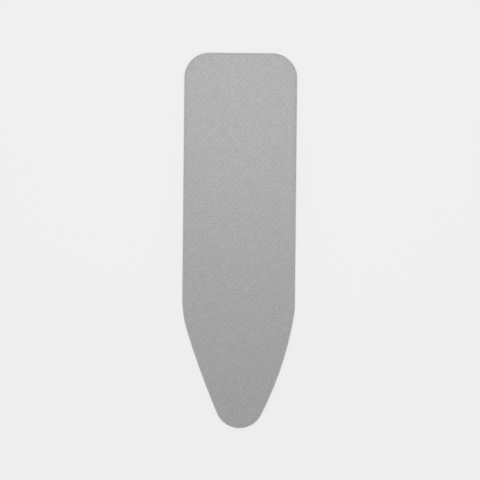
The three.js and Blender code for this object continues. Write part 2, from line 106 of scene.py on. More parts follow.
# The linear colour of an sRGB hex code
def hexColour(code):
    channels = [int(code[i:i + 2], 16) / 255 for i in (1, 3, 5)]
    linear = [c / 12.92 if c <= 0.04045 else ((c + 0.055) / 1.055) ** 2.4 for c in channels]
    return (*linear, 1)


# Sets a node's inputs, each to a value, a socket or another node's first output
def setInputs(node, inputs):
    for name, value in inputs.items():
        if isinstance(value, bpy.types.Node):
            value = value.outputs[0]
        if isinstance(value, bpy.types.NodeSocket):
            node.id_data.links.new(value, node.inputs[name])
        else:
            node.inputs[name].default_value = value


def addNode(tree, kind, inputs, **settings):
    node = tree.nodes.new("ShaderNode" + kind)
    for name, value in settings.items():
        setattr(node, name, value)
    setInputs(node, inputs)
    return node


# Studio: a light tent, brighter from the sides than from above, so that the cover's rolled edge is as
# light as its top, and a lamp past the heel that falls off towards the nose
studio = {
    "backdrop": "#EFEFEF",
    "tentSide": 1.96,  # strengths of plain white light
    "tentTop": 0.04,
    "lampPlace": (0, 650, 1500),
    "lampSize": 600,
    "lampPower": 7.84,  # watts
    "floorSize": 30000,
    "floorGlow": 0.92,  # share of the floor's own pale tone, and the rest takes the shadow
    "glowStrength": 1.016,
}


# What the camera sees of the stage, straight or in a reflection
def seenByCamera(tree):
    path = addNode(tree, "LightPath", {})
    shiny = addNode(tree, "Math", {
        0: path.outputs["Is Glossy Ray"], 1: path.outputs["Is Transmission Ray"]}, operation="MAXIMUM")
    return addNode(tree, "Math", {0: path.outputs["Is Camera Ray"], 1: shiny}, operation="MAXIMUM")


def makeWorld():
    world = bpy.data.worlds.new("studio")
    bpy.context.scene.world = world
    world.use_nodes = True
    tree = world.node_tree
    sky = addNode(tree, "TexCoord", {})
    split = addNode(tree, "SeparateXYZ", {0: sky.outputs["Generated"]})
    tent = addNode(tree, "MapRange", {
        "Value": split.outputs["Z"], "To Min": studio["tentSide"], "To Max": studio["tentTop"]})
    light = tree.nodes["Background"]
    setInputs(light, {"Color": (1, 1, 1, 1), "Strength": tent})
    backdrop = addNode(tree, "Background", {"Color": hexColour(studio["backdrop"])})
    both = addNode(tree, "MixShader", {0: seenByCamera(tree), 1: light, 2: backdrop})
    setInputs(tree.nodes["World Output"], {"Surface": both})


def makeFloor():
    bm = bmesh.new()
    bmesh.ops.create_grid(bm, x_segments=1, y_segments=1, size=studio["floorSize"] * mm / 2)
    floor = addObject("floor", toMesh("floor", bm))
    material = bpy.data.materials.new("paleFloor")
    material.use_nodes = True
    tree = material.node_tree
    paint = tree.nodes["Principled BSDF"]
    pale = hexColour(studio["backdrop"])
    setInputs(paint, {"Base Color": pale, "Roughness": 1, "Specular IOR Level": 0})
    glow = addNode(tree, "Emission", {"Color": pale, "Strength": studio["glowStrength"]})
    share = addNode(tree, "Math", {0: seenByCamera(tree), 1: studio["floorGlow"]}, operation="MULTIPLY")
    both = addNode(tree, "MixShader", {0: share, 1: paint, 2: glow})
    setInputs(tree.nodes["Material Output"], {"Surface": both})
    floor.data.materials.append(material)


def makeLamp():
    lamp = addObject("heelLamp", bpy.data.lights.new("heelLamp", "AREA"))
    lamp.data.shape = "DISK"
    lamp.data.size = studio["lampSize"] * mm
    lamp.data.energy = studio["lampPower"]
    lamp.location = Vector(studio["lampPlace"]) * mm
    lamp.visible_camera = False


makeWorld()
makeFloor()
makeLamp()
print("studio lit")


# A new material, and the place that its patterns follow: on the cloth's own map, or in the piece
def startMaterial(name, onCloth=False):
    material = bpy.data.materials.new(name)
    material.use_nodes = True
    tree = material.node_tree
    if onCloth:
        return material, tree, addNode(tree, "UVMap", {}, uv_map="cloth")
    return material, tree, addNode(tree, "TexCoord", {}).outputs["Object"]


# Materials end alike: a dark and a light tone mixed by a pattern, with spots over them, relief from the
# pattern or from a height of its own, and the shader's other inputs. A mix of colours takes them in its
# inputs 6 and 7 and gives one in its output 2.
def finishMaterial(material, look, pattern, inputs, height=None, spots=None):
    tree = material.node_tree
    shader = tree.nodes["Principled BSDF"]
    if "range" in look:
        low, high = look["range"]
        pattern = addNode(tree, "MapRange", {"Value": pattern, "From Min": low, "From Max": high})
    tones = addNode(tree, "Mix", {
        "Factor": pattern, 6: hexColour(look["dark"]), 7: hexColour(look["light"])}, data_type="RGBA")
    if spots:
        tones = addNode(tree, "Mix", {
            "Factor": spots, 6: tones.outputs[2], 7: hexColour(look["spot"])}, data_type="RGBA")
    setInputs(shader, {"Base Color": tones.outputs[2], **inputs})
    if "relief" in look:
        bump = addNode(tree, "Bump", {
            "Strength": look["bump"], "Distance": look["relief"] * mm, "Height": height or pattern})
        setInputs(shader, {"Normal": bump})
    return material


# Waves over a cloth's map, with their turns to a unit of it both ways
def stripes(tree, place, *turns):
    along = addNode(tree, "VectorMath", {
        0: place, 1: (*[fullTurn * turn for turn in turns], 0)}, operation="DOT_PRODUCT")
    return addNode(tree, "Math", {0: along.outputs["Value"]}, operation="SINE")


# Cotton with an aluminium coat: plain woven, neutral silver grey, satin, with faint pin dots
def metallisedCotton():
    look = {
        "light": "#B1B1B1",
        "dark": "#A5A5A5",
        "spot": "#9C9C9C",
        "dotSpacing": 22,
        "dotEdge": (0.62, 0.9),  # of the crossed waves, which are 1 in a dot's middle
        "dotDepth": 0.55,
        "slubWidth": 2.6,  # an uneven thread, drawn wider than its 0.4 mm so that it shows
        "slubLength": 34,
        "slubRange": (0.7, 1.3),
        "weave": 2.4,  # a thread is 0.4 mm, drawn coarser so that it shows
        "weaveShare": 0.5,
        "bump": 0.35,
        "relief": 0.2,
        "roughness": (0.72, 0.6),  # of the dark threads and the light ones
        "nap": 0.2,  # keeps the rolled edge light
    }
    material, tree, cloth = startMaterial("metallisedCotton", onCloth=True)

    def crossed(spacing):
        turns = addNode(tree, "VectorMath", {
            0: cloth, "Scale": fullTurn / (spacing * mm)}, operation="SCALE")
        waves = addNode(tree, "VectorMath", {0: turns}, operation="COSINE")
        split = addNode(tree, "SeparateXYZ", {0: waves})
        return addNode(tree, "Math", {0: split.outputs["X"], 1: split.outputs["Y"]}, operation="MULTIPLY")

    def slubs(width, length):
        place = addNode(tree, "Mapping", {
            "Vector": cloth, "Scale": (1 / (width * mm), 1 / (length * mm), 1)})
        return addNode(tree, "TexNoise", {"Vector": place, "Scale": 1, "Detail": 2}, noise_dimensions="2D")

    warp = slubs(look["slubWidth"], look["slubLength"])
    weft = slubs(look["slubLength"], look["slubWidth"])
    threads = addNode(tree, "Math", {0: warp, 1: weft}, operation="ADD")
    uneven = addNode(tree, "MapRange", {
        "Value": threads, "From Min": look["slubRange"][0], "From Max": look["slubRange"][1]})
    dots = addNode(tree, "MapRange", {
        "Value": crossed(look["dotSpacing"]), "From Min": look["dotEdge"][0],
        "From Max": look["dotEdge"][1], "To Max": look["dotDepth"]}, interpolation_type="SMOOTHSTEP")
    relief = addNode(tree, "Math", {
        0: crossed(look["weave"]), 1: look["weaveShare"], 2: uneven}, operation="MULTIPLY_ADD")
    gloss = addNode(tree, "MapRange", {
        "Value": uneven, "To Min": look["roughness"][0], "To Max": look["roughness"][1]})
    return finishMaterial(material, look, uneven, {
        "Roughness": gloss, "Metallic": 0.2, "Sheen Weight": look["nap"]}, relief, dots)


# Needle-punched polyester felt: pale, matted fibres lying every way, no gloss
def needledFelt():
    look = {
        "light": "#DCDAD4",
        "dark": "#C2C0B9",
        "tuft": (0.7, 6, 4),  # a fibre is 0.03 mm wide, drawn as a tuft so that it shows
        "curl": 1.6,
        "lies": (15, 52, 90, 128, 165),
        "range": (0.5, 0.75),
        "bump": 0.5,
        "relief": 0.4,
    }
    material, tree, place = startMaterial("needledFelt")
    layers = []
    for angle in look["lies"]:
        lie = addNode(tree, "Mapping", {"Vector": place, "Rotation": (0, 0, math.radians(angle))})
        drawn = addNode(tree, "Mapping", {
            "Vector": lie, "Scale": [1 / (size * mm) for size in look["tuft"]]})
        layers.append(addNode(tree, "TexNoise", {
            "Vector": drawn, "Scale": 1, "Detail": 3, "Distortion": look["curl"]}))
    fibres = layers[0]
    for layer in layers[1:]:
        fibres = addNode(tree, "Math", {0: fibres, 1: layer}, operation="MAXIMUM")
    return finishMaterial(material, look, fibres, {"Roughness": 0.95, "Sheen Weight": 0.15})


# Open-cell polyurethane foam: cream, with small round pores
def cellFoam():
    look = {"light": "#E9E4D3", "dark": "#CFC8B2", "pore": 1.6, "range": (0.1, 0.6), "bump": 0.5,
            "relief": 0.6}
    material, tree, place = startMaterial("cellFoam")
    cells = addNode(tree, "TexVoronoi", {
        "Vector": place, "Scale": 1 / (look["pore"] * mm)}, feature="SMOOTH_F1")
    return finishMaterial(material, look, cells, {"Roughness": 0.95})


# Cotton twill tape: matte mid grey, with the slanting ribs of its weave
def twillTape():
    look = {"light": "#939393", "dark": "#757575", "rib": 1.4, "ribShare": 0.3, "mottle": 9,
            "range": (0.1, 0.9), "bump": 0.6, "relief": 0.3}
    material, tree, strip = startMaterial("twillTape", onCloth=True)
    slant = 1 / (look["rib"] * mm) / math.sqrt(2)
    worn = addNode(tree, "TexNoise", {
        "Vector": strip, "Scale": 1 / (look["mottle"] * mm), "Detail": 3}, noise_dimensions="2D")
    height = addNode(tree, "Math", {
        0: stripes(tree, strip, slant, slant), 1: look["ribShare"], 2: worn}, operation="MULTIPLY_ADD")
    return finishMaterial(material, look, height, {"Roughness": 0.88, "Sheen Weight": 0.1})


# Braided polyester cord: off-white strands crossing both ways round it
braid = {"strands": 4, "lay": 5}  # the cord's own relief follows it too


def braidedPolyester():
    look = {"light": "#F0F0EC", "dark": "#B9B8B2", "range": (-0.4, 0.7), "bump": 0.7, "relief": 0.3}
    material, tree, wrap = startMaterial("braidedPolyester", onCloth=True)
    left, right = [
        stripes(tree, wrap, braid["strands"], hand / (braid["lay"] * mm)) for hand in (-1, 1)]
    over = addNode(tree, "Math", {0: left, 1: right}, operation="MAXIMUM")
    return finishMaterial(material, look, over, {"Roughness": 0.75})


# Woven elastic: charcoal, with rubber cords showing as ribs along it and fine weft across
def wovenElastic():
    look = {"light": "#3B3B3F", "dark": "#212124", "rib": 1.8, "weft": 1.1, "weftShare": 0.4,
            "range": (-1.4, 1.4), "bump": 0.8, "relief": 0.3}
    material, tree, band = startMaterial("wovenElastic", onCloth=True)
    ribs = stripes(tree, band, 1 / (look["rib"] * mm), 0)
    weft = stripes(tree, band, 0, 1 / (look["weft"] * mm))
    height = addNode(tree, "Math", {0: weft, 1: look["weftShare"], 2: ribs}, operation="MULTIPLY_ADD")
    return finishMaterial(material, look, height, {"Roughness": 0.8, "Sheen Weight": 0.1})


# Moulded plastic, from a spark-eroded mould: even colour, fine grained satin skin
def mouldedPlastic(name, light, dark, roughness, ior):
    look = {
        "light": light,
        "dark": dark,
        "grain": 0.5,  # drawn coarser than the real 0.05 so that it shows
        "flow": 14,  # slow changes of tone from the mould's filling
        "glossSpread": 0.08,
        "bump": 0.2,
        "relief": 0.08,
    }
    material, tree, place = startMaterial(name)
    streaks = addNode(tree, "TexNoise", {"Vector": place, "Scale": 1 / (look["flow"] * mm), "Detail": 2})
    speckle = addNode(tree, "TexNoise", {"Vector": place, "Scale": 1 / (look["grain"] * mm), "Detail": 1})
    gloss = addNode(tree, "MapRange", {
        "Value": speckle,
        "To Min": roughness - look["glossSpread"],
        "To Max": roughness + look["glossSpread"],
    })
    return finishMaterial(material, look, streaks, {"Roughness": gloss, "IOR": ior}, speckle)


# Drawn spring wire: bright steel with fine lines and a trace of oil
def drawnSteel():
    look = {"light": "#C4C4C6", "dark": "#97979A", "line": 0.6, "roughness": (0.2, 0.4)}
    material, tree, place = startMaterial("drawnSteel")
    lines = addNode(tree, "TexNoise", {"Vector": place, "Scale": 1 / (look["line"] * mm), "Detail": 3})
    gloss = addNode(tree, "MapRange", {
        "Value": lines, "To Min": look["roughness"][0], "To Max": look["roughness"][1]})
    return finishMaterial(material, look, lines, {"Roughness": gloss, "Metallic": 1})


# Spun polyester sewing thread: a soft shine on its twist
def sewingThread(name, light, dark):
    look = {"light": light, "dark": dark, "twist": 0.8, "bump": 0.4, "relief": 0.1}
    material, tree, place = startMaterial(name)
    plies = addNode(tree, "TexNoise", {"Vector": place, "Scale": 1 / (look["twist"] * mm), "Detail": 1})
    return finishMaterial(material, look, plies, {"Roughness": 0.6})


coverCotton = metallisedCotton()
padFelt = needledFelt()
padFoam = cellFoam()
hemTwill = twillTape()
cordBraid = braidedPolyester()
strapElastic = wovenElastic()
hookNylon = mouldedPlastic("mouldedNylon", "#DEDEDB", "#D0D0CC", 0.42, 1.53)
lockAcetal = mouldedPlastic("mouldedAcetal", "#3B3B3E", "#333336", 0.4, 1.48)
springSteel = drawnSteel()
hemThread = sewingThread("hemThread", "#B4B4B2", "#9A9A98")
strapThread = sewingThread("strapThread", "#565659", "#454548")
print("materials made")


# Outline seen from above, as legs that are straight or turn about a centre. They run anticlockwise,
# with the outside to the right.
outline = {
    "heelCorner": 83,
    "noseRadius": 80.3,
    "noseOffset": 5.9,
    "leftTaper": 428,
    "leftShoulder": 354,
    "leftFlank": 2802,
    "rightTaper": 412,
    "rightShoulder": 255,
    "rightFlank": 1121,
}
gatherCount = {"corner": 8, "nose": 13}
hands = {-1: "left", 1: "right"}
metres = {name: size * mm for name, size in outline.items()}
halfWidth, heelY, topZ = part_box("cover_fabric")[1]
noseY = -heelY
noseRadius = metres["noseRadius"]
noseCentre = Vector((metres["noseOffset"], noseY + noseRadius))
cornerRadius = metres["heelCorner"]
cornerX, cornerY = halfWidth - cornerRadius, heelY - cornerRadius
leftEndY, rightEndY = noseY + metres["leftTaper"], noseY + metres["rightTaper"]


def straightLeg(start, end, **marks):
    start, end = Vector((*start, 0)), Vector((*end, 0))
    ahead = (end - start).normalized()
    return {"start": start, "end": end, "normal": ahead.cross(up), "length": (end - start).length, **marks}


def turnLeg(centre, radius, fromAngle, toAngle, **marks):
    angle = toAngle - fromAngle
    return {"centre": Vector((*centre, 0)), "radius": radius, "from": fromAngle, "angle": angle,
            "length": radius * angle, **marks}


# Point on a leg and the outward normal there
def legPlace(leg, share):
    if "centre" not in leg:
        return leg["start"].lerp(leg["end"], share), leg["normal"]
    angle = leg["from"] + share * leg["angle"]
    normal = Vector((math.cos(angle), math.sin(angle), 0))
    return leg["centre"] + normal * leg["radius"], normal


# Length of a leg as it runs at an inset from the outline
def lengthAt(leg, inset):
    return leg["angle"] * (leg["radius"] - inset) if "centre" in leg else leg["length"]


# A drawn-in side: a shoulder, and a long flank whose circle holds the shoulder's and the nose's. The
# legs come in running order, with the angle where the flank meets the nose.
def taperLegs(side):
    taper, shoulderRadius, flankRadius = [
        metres[hands[side] + part] for part in ("Taper", "Shoulder", "Flank")]
    shoulder = Vector((side * (halfWidth - shoulderRadius), noseY + taper))
    crossings = intersect_sphere_sphere_2d(
        shoulder, flankRadius - shoulderRadius, noseCentre, flankRadius - noseRadius)
    flank = min(crossings, key=lambda point: side * point.x)
    aside = 0 if side > 0 else math.pi
    shoulderEnd, flankEnd = [
        aside + math.asin((centre - flank).normalized().y) * side for centre in (shoulder, noseCentre)]
    legs = [
        turnLeg(shoulder, shoulderRadius, *sorted((aside, shoulderEnd))),
        turnLeg(flank, flankRadius, *sorted((shoulderEnd, flankEnd))),
    ]
    return legs[::-side], flankEnd


leftTaper, noseStart = taperLegs(-1)
rightTaper, noseStop = taperLegs(1)
noseTip = turnLeg(noseCentre, noseRadius, noseStart, fullTurn + noseStop, gathers=gatherCount["nose"])
noseEnd = [*leftTaper, noseTip, *rightTaper]
leftCorner = turnLeg(
    (-cornerX, cornerY), cornerRadius, math.pi / 2, math.pi, gathers=gatherCount["corner"])
rightCorner = turnLeg((cornerX, cornerY), cornerRadius, 0, math.pi / 2, gathers=gatherCount["corner"])


def sideLeg(side, fromY, toY, **marks):
    return straightLeg((side * halfWidth, fromY), (side * halfWidth, toY), **marks)


def heelLeg(fromX, toX):
    return straightLeg((fromX, heelY), (toX, heelY))


# Sizes that several pieces share
hem = {
    "inset": 50,  # from the outline to the drawstring
    "cord": 2.4,
    "play": 0.6,  # round the cord in its tunnel
    "tape": 0.8,
    "tapeLeg": 11,  # from the drawstring to the tape's edges
    "edgeGap": 0.3,  # from the cloth to the tape round it
    "band": 15.6,  # level cloth, from the drawstring
    "notchDepth": 13.6,
    "notchLength": 35.8,
}
hemInset = hem["inset"] * mm
cordRadius = hem["cord"] * mm / 2
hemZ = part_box("drawstring")[0].z + cordRadius
notchHalf = hem["notchLength"] * mm / 2
strapYs = [sum(corner.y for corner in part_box(f"stretch_strap_{i}")) / 2 for i in (1, 2, 3)]
strapZ = sum(corner.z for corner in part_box("stretch_strap_1")) / 2
quarters = (0.25, 0.5, 0.75, 1)


# The long sides, cut into legs at the ends of the hooks' notches
def notchedSide(side, fromY, toY):
    cuts = sorted([y + end for y in strapYs for end in (-notchHalf, notchHalf)], reverse=fromY > toY)
    places = [fromY, *cuts, toY]
    return [sideLeg(side, a, b, notch=bool(i % 2)) for i, (a, b) in enumerate(zip(places, places[1:]))]


def wholeOutline():
    return [
        heelLeg(0, -cornerX),
        leftCorner,
        *notchedSide(-1, cornerY, leftEndY),
        *noseEnd,
        *notchedSide(1, rightEndY, cornerY),
        rightCorner,
        heelLeg(cornerX, 0),
    ]


# An open line of vertices in the plane across a leg's start. A move is an inset and a height, or
# those of a centre to turn about with the angle and the steps.
def drawSection(bm, leg, moves):
    point, normal = legPlace(leg, 0)
    across = up.cross(normal)
    bm.verts.new(point - normal * moves[0][0] + up * moves[0][1])
    last = list(bm.verts)
    for inset, z, *turn in moves[1:]:
        place = point - normal * inset + up * z
        if turn:
            made = bmesh.ops.spin(bm, geom=last, cent=place, axis=across, dvec=(0, 0, 0),
                                  angle=math.radians(turn[0]), steps=turn[1])
            last = made["geom_last"]
        else:
            last = bmesh.ops.extrude_vert_indiv(bm, verts=last)["verts"]
            last[0].co = place


# A smooth rise from 0 to 1 between two values
def ease(start, end, value):
    share = min(1, max(0, (value - start) / (end - start)))
    return share * share * (3 - 2 * share)


puckers = {
    "endPower": 0.3,  # how suddenly the puffs rise at a leg's ends
    "stray": 0.35,  # of a crease, as a share of the gathers' spacing
    "strayPace": 0.7,  # steps of the noise to a gather
    "straySeed": 90,  # steps to a metre of the leg's radius, so that nose and corners differ
    "strayStart": 0.5,
    "puff": 0.75,
    "puffSpread": 0.6,
    "puffPace": 0.55,
    "puffSeed": 40,
    "puffStart": 7.5,
}


# Irregular gathers: 0 in the sharp creases and at both ends of a leg, and up to about 1 on the puffs
def gatherAt(leg, share):
    count = leg.get("gathers", 0)
    if not count:
        return 0
    place, radius = share * count, leg["radius"]
    ends = math.sin(math.pi * share) ** puckers["endPower"] if 0 < share < 1 else 0
    stray = noise.noise((place * puckers["strayPace"], radius * puckers["straySeed"], puckers["strayStart"]))
    puff = noise.noise((place * puckers["puffPace"], puckers["puffStart"], radius * puckers["puffSeed"]))
    wave = abs(math.sin(math.pi * (place + puckers["stray"] * stray * ends)))
    return ends * (puckers["puff"] + puckers["puffSpread"] * puff) * wave


# Carries the section that is drawn in bm along the legs, a step at a time. Each vertex keeps its inset,
# its place along the section and along the legs, its share of a gather and the outward normal.
def sweep(bm, legs, step, gatherSteps=10):
    layers = {name: bm.verts.layers.float.new(name) for name in ("inset", "across", "along", "gather")}
    layers["normal"] = bm.verts.layers.float_vector.new("normal")
    point, normal = legPlace(legs[0], 0)
    travelled = 0
    previous = None
    for vert in bm.verts:
        travelled += (vert.co - previous.co).length if previous else 0
        previous = vert
        vert[layers["inset"]] = (point - vert.co).dot(normal)
        vert[layers["across"]] = travelled
        vert[layers["normal"]] = normal
    ring = len(bm.verts)
    geometry = [*bm.verts, *bm.edges]
    distance = 0
    faces = []
    for leg in legs:
        steps = max(1, math.ceil(leg["length"] / leg.get("step", step)), leg.get("gathers", 0) * gatherSteps)
        before = len(bm.verts), len(bm.faces)
        turning = "centre" in leg
        rise = leg.get("rise", 0)
        shift = up * rise / steps
        if not turning:
            shift += (leg["end"] - leg["start"]) / steps
        made = bmesh.ops.spin(bm, geom=geometry, cent=leg["centre"] if turning else (0, 0, 0), axis=up,
                              dvec=shift, angle=leg["angle"] if turning else 0, steps=steps)
        geometry = made["geom_last"]
        for i, vert in enumerate(list(bm.verts)[before[0]:]):
            share = (i // ring + 1) / steps
            vert.co.z += rise * (ease(0, 1, share) - share)
            vert[layers["normal"]] = legPlace(leg, share)[1]
            vert[layers["along"]] = distance + share * leg["length"]
            vert[layers["gather"]] = gatherAt(leg, share)
        faces.append(list(bm.faces)[before[1]:])
        distance += leg["length"]
    return layers, faces


def writeUv(bm, place):
    layer = bm.loops.layers.uv.new("cloth")
    for face in bm.faces:
        for loop in face.loops:
            loop[layer].uv = place(loop.vert)


def makePiece(name, bm, material, body=None, nodes=()):
    piece = addObject(name, toMesh(name, bm))
    for polygon in piece.data.polygons:
        polygon.use_smooth = True
    piece.data.materials.append(material)
    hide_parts(*nodes)
    if body:
        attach(piece, body)
    return piece


def thicken(piece, thickness, offset):
    wall = piece.modifiers.new("wall", "SOLIDIFY")
    wall.thickness = thickness * mm
    wall.offset = offset


# Faces with their edges and corners, each once, as the operators take them
def withParts(faces):
    return [*faces, *dict.fromkeys(part for face in faces for part in (*face.edges, *face.verts))]


# Cuts faces by a plane, taking corners nearer than snap as on it, and gives the faces there are then
def cutFaces(bm, faces, place, normal, snap):
    cut = bmesh.ops.bisect_plane(bm, geom=withParts(faces), dist=snap, plane_co=place, plane_no=normal)
    return [item for item in cut["geom"] if isinstance(item, bmesh.types.BMFace)]


# Fills the open loop at a height with one face, and cuts that into cells so that it can be shaped
def fillFlat(bm, z, cell):
    snap = 0.05 * mm  # leaves no slivers beside the rim's corners
    rim = [edge for edge in bm.edges if edge.is_boundary
           and all(abs(vert.co.z - z) < touch for vert in edge.verts)]
    faces = bmesh.ops.contextual_create(bm, geom=rim)["faces"]
    for axis, reach in ((alongX, halfWidth), (alongY, heelY)):
        cuts = math.floor(reach / cell)
        for i in range(-cuts, cuts + 1):
            faces = cutFaces(bm, faces, axis * (i * cell), axis, snap)


def closeSeam(bm):
    bmesh.ops.remove_doubles(bm, verts=bm.verts[:], dist=touch)


def faceOut(bm):
    bmesh.ops.recalc_face_normals(bm, faces=bm.faces[:])


def closeEnds(bm):
    bmesh.ops.holes_fill(bm, edges=[edge for edge in bm.edges if edge.is_boundary], sides=0)
    faceOut(bm)


def bevel(bm, parts, width, steps, affect="EDGES", clamp=False):
    bmesh.ops.bevel(bm, geom=parts, offset=width, offset_type="OFFSET", segments=steps, profile=0.5,
                    affect=affect, material=-1, clamp_overlap=clamp)


sharpAngle = math.radians(35)  # between the faces at an edge that gets rounded


def roundEdges(piece, width):
    soft = piece.modifiers.new("soft edge", "BEVEL")
    soft.width = width * mm
    soft.segments = 3
    soft.limit_method = "ANGLE"
    soft.angle_limit = sharpAngle
    soft.harden_normals = True


# Cover: one cloth, flat over the pads, rolled over their edge and down the board's side, and turned
# under to the hem, with gathers where the drawstring pulls it round the corners and the nose
cover = {
    "cloth": 0.8,
    "topRoll": 12,
    "lowerRoll": 8,
    "lowerRollZ": 14.94,
    "rollSteps": (9, 6),  # round the top roll and the lower one
    "flatRim": 56,  # inset of the innermost ring, with the flat of the top inside it
    "flatRings": (0.3, 0.6, 0.85, 0.95, 1),  # shares of the way from there to the roll
    "skirtSteps": 7,
    "hemRing": 8,  # from the drawstring
    "pleat": 0.6,  # depth of the gathers in the side
    "pleatRise": (8, 34),  # distances down the cloth from where the roll starts
    "pleatFall": (50, 66),
    "gather": 2.4,  # depth in the skirt
    "gatherRise": (34, 52),  # from there too
    "gatherFall": (54, 69),
    "ruffle": 0.7,  # depth in the hem
    "ruffleStart": 54,  # from there too
    "ruffleFall": (9, 2.5),  # from the drawstring
    "softness": 0.25,  # slow unevenness of the padded top
    "softSize": 70,
    "softDepth": 6,  # below the top, where it ends
    "topCell": 15,
    "step": 8,
    "cutSteps": 40,  # corners of the cut cloth to a leg
}


def coverSection():
    roll, lower = cover["topRoll"] * mm, cover["lowerRoll"] * mm
    rollZ, lowerZ = topZ - roll, cover["lowerRollZ"] * mm
    band = Vector((hemInset - hem["band"] * mm, hemZ - cover["cloth"] * mm / 2))
    toBand = band - Vector((lower, lowerZ))
    slope = math.atan2(toBand.y, toBand.x) - math.acos(lower / toBand.length)
    skirtTop = Vector((lower + lower * math.cos(slope), lowerZ + lower * math.sin(slope)))
    skirt = [skirtTop.lerp(band, i / cover["skirtSteps"]) for i in range(1, cover["skirtSteps"])]
    rim = cover["flatRim"] * mm
    return [
        (rim, topZ),
        *[(rim + (roll - rim) * share, topZ) for share in cover["flatRings"]],
        (roll, rollZ, 90, cover["rollSteps"][0]),
        *[(0, rollZ + (lowerZ - rollZ) * share) for share in quarters],
        (lower, lowerZ, math.degrees(math.pi + slope) % 360, cover["rollSteps"][1]),
        *[tuple(point) for point in skirt],
        tuple(band),
        (hemInset - hem["notchDepth"] * mm, band.y),
        (hemInset - cover["hemRing"] * mm, band.y),
        (hemInset - cordRadius - (hem["play"] + hem["edgeGap"]) * mm, band.y),
    ]


# How far a puff of the gathers hangs down in the hem, which the cord keeps flat at its edge
def ruffle(inset):
    start, end = [hemInset - distance * mm for distance in cover["ruffleFall"]]
    return cover["ruffle"] * mm * (1 - ease(start, end, inset))


def makeCover():
    bm = bmesh.new()
    legs = wholeOutline()
    drawSection(bm, legs[0], coverSection())
    layers, legFaces = sweep(bm, legs, cover["step"] * mm)
    inset, across, gather, normal = [layers[name] for name in ("inset", "across", "gather", "normal")]
    notchInset = hemInset - hem["notchDepth"] * mm - touch
    notches = [face for leg, faces in zip(legs, legFaces) if leg.get("notch") for face in faces
               if min(vert[inset] for vert in face.verts) > notchInset]
    bmesh.ops.delete(bm, geom=notches, context="FACES")
    closeSeam(bm)
    roll = cover["topRoll"] * mm
    rollStart = cover["flatRim"] * mm - roll
    for vert in bm.verts:
        down = (vert[across] - rollStart) / mm
        pleat, hang = [
            cover[fold] * mm * ease(*cover[fold + "Rise"], down) * (1 - ease(*cover[fold + "Fall"], down))
            for fold in ("pleat", "gather")]
        if down > cover["ruffleStart"]:
            hang = max(hang, ruffle(vert[inset]))
        vert.co += (vert[normal] * pleat - up * hang) * vert[gather]
    fillFlat(bm, topZ, cover["topCell"] * mm)
    for vert in bm.verts:
        wave = noise.noise(Vector(vert.co) / (cover["softSize"] * mm))
        level = ease(topZ - cover["softDepth"] * mm, topZ, vert.co.z)
        vert.co.z += wave * cover["softness"] * mm * level
    faceOut(bm)

    # Where a vertex lies on the cloth before it is turned over the edge
    def flatPlace(vert):
        past = vert[across] - rollStart
        return (vert.co + vert[normal] * (vert[inset] - roll + past)).xy if past > 0 else vert.co.xy

    writeUv(bm, flatPlace)
    piece = makePiece("cover_cloth", bm, coverCotton, "cover", ["cover_fabric"])
    thicken(piece, cover["cloth"], -1)


makeCover()


# Pads: foam over felt, cut to the inside of the cover's rolled edge
pads = {
    "clear": 1.1,  # from the cloth's outer face
    "rim": 40,
    "cell": 20,
    "step": 20,
    "rollSteps": 6,
    "gatherSteps": 3,
    "foamSink": 0.3,  # the foam gives a little under the cloth
    "foamFill": 0.5,
    "feltLumps": 0.3,
    "lumpSize": 30,
    "feltFill": 0.3,
    "edge": 0.6,
}


def makePad(name, node, material, sink, lumps):
    low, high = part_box(node)
    highZ = high.z - sink * mm
    roll = cover["topRoll"] * mm
    radius = roll - pads["clear"] * mm
    rollZ = topZ - roll
    lowAngle, highAngle = [math.pi - math.asin((z - rollZ) / radius) for z in (low.z, highZ)]
    rim = pads["rim"] * mm
    bm = bmesh.new()
    legs = wholeOutline()
    drawSection(bm, legs[0], [
        (rim, low.z),
        (roll + radius * math.cos(lowAngle), low.z),
        (roll, rollZ, math.degrees(highAngle - lowAngle), pads["rollSteps"]),
        (rim, highZ),
    ])
    sweep(bm, legs, pads["step"] * mm, pads["gatherSteps"])
    closeSeam(bm)
    fillFlat(bm, low.z, pads["cell"] * mm)
    fillFlat(bm, highZ, pads["cell"] * mm)
    for vert in bm.verts:
        if vert.co.z < low.z + touch:
            vert.co.z -= abs(noise.noise(Vector(vert.co) / (pads["lumpSize"] * mm))) * lumps * mm
    faceOut(bm)
    piece = makePiece(name, bm, material, "cover", [node])
    roundEdges(piece, pads["edge"])


makePad("foam_pad", "foam_layer", padFoam, pads["foamSink"], 0)
makePad("felt_pad", "felt_layer", padFelt, 0, pads["feltLumps"])
print("pads made")


# Hem tape: folded round the cloth's edge, with the drawstring's tunnel in the fold, in lengths
# between the hooks' notches
tape = {"tunnelSteps": 16, "step": 6}
tapeNames = ("heel_left", "left_1", "left_2", "nose", "right_2", "right_1", "heel_right")
tapeRuns = {name: [] for name in tapeNames}
heelGap = abs(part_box("hem_tape_heel_left")[1].x)
tapeLegZ = (cover["cloth"] / 2 + hem["edgeGap"] + hem["tape"] / 2) * mm  # its middle, from the cloth's
tunnelRadius = cordRadius + (hem["play"] + hem["tape"] / 2) * mm
tapeEdge = hemInset - hem["tapeLeg"] * mm


# The outline from one side of the heel's opening round to the other
def hemLegs():
    return [heelLeg(-heelGap, -cornerX), *wholeOutline()[1:-1], heelLeg(cornerX, heelGap)]


notchesPassed = 0
for leg in hemLegs():
    if leg.get("notch"):
        notchesPassed += 1
    else:
        tapeRuns[tapeNames[notchesPassed]].append(leg)


# Lays the material's map along a strip and across it
def writeStripUv(bm, layers):
    writeUv(bm, lambda vert: (vert[layers["along"]], vert[layers["across"]]))


